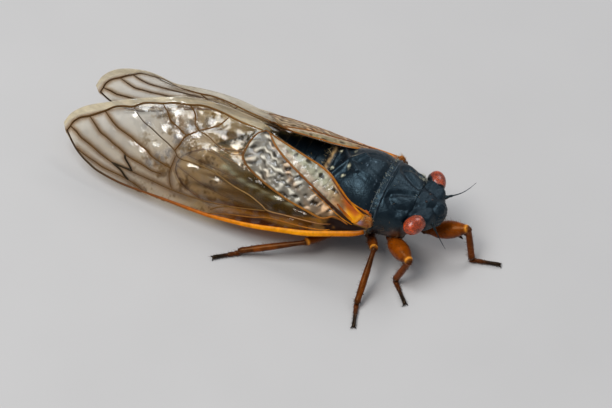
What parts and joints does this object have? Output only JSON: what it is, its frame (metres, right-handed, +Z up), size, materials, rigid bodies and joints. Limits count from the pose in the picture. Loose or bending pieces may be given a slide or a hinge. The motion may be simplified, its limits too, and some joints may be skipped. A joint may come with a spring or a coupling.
{
  "type": "periodical cicada model",
  "caption": "Life-size still model of a periodical cicada at rest, clear veined wings folded roof-like over a blue-black body, red eyes, orange legs on a flat floor.",
  "frame": {"origin": "centre of the bounding box's base, on the floor that the feet stand on", "axes": "+X towards the head, +Y to the animal's left, +Z up"},
  "size_m": [0.055, 0.0254, 0.0135],
  "materials": {
    "cuticle": "semi-matt blue-black insect cuticle with fine hair",
    "eye": "glossy red compound eye",
    "leg": "waxy orange-brown cuticle",
    "dark_leg": "dark brown cuticle",
    "antenna": "dull black-brown cuticle",
    "wing": "clear membrane with orange to brown veins"
  },
  "bodies": {
    "root": {"head": "cuticle", "clypeus": "cuticle", "rostrum": "dark_leg", "eye_right": "eye", "eye_left": "eye", "antenna_right": "antenna", "antenna_left": "antenna", "pronotum": "cuticle", "mesonotum": "cuticle", "metanotum": "cuticle", "thorax_under": "cuticle", "abdomen": "cuticle", "tail_plates": "cuticle", "forewing_right": "wing", "forewing_left": "wing", "hindwing_right": "wing", "hindwing_left": "wing", "coxa_fore_right": "dark_leg", "femur_fore_right": "leg", "tibia_fore_right": "leg", "tarsus_fore_right": "dark_leg", "coxa_fore_left": "dark_leg", "femur_fore_left": "leg", "tibia_fore_left": "leg", "tarsus_fore_left": "dark_leg", "coxa_mid_right": "dark_leg", "femur_mid_right": "leg", "tibia_mid_right": "leg", "tarsus_mid_right": "dark_leg", "coxa_mid_left": "dark_leg", "femur_mid_left": "leg", "tibia_mid_left": "leg", "tarsus_mid_left": "dark_leg", "coxa_hind_right": "dark_leg", "femur_hind_right": "leg", "tibia_hind_right": "leg", "tarsus_hind_right": "dark_leg", "coxa_hind_left": "dark_leg", "femur_hind_left": "leg", "tibia_hind_left": "leg", "tarsus_hind_left": "dark_leg"}
  },
  "joints": []
}
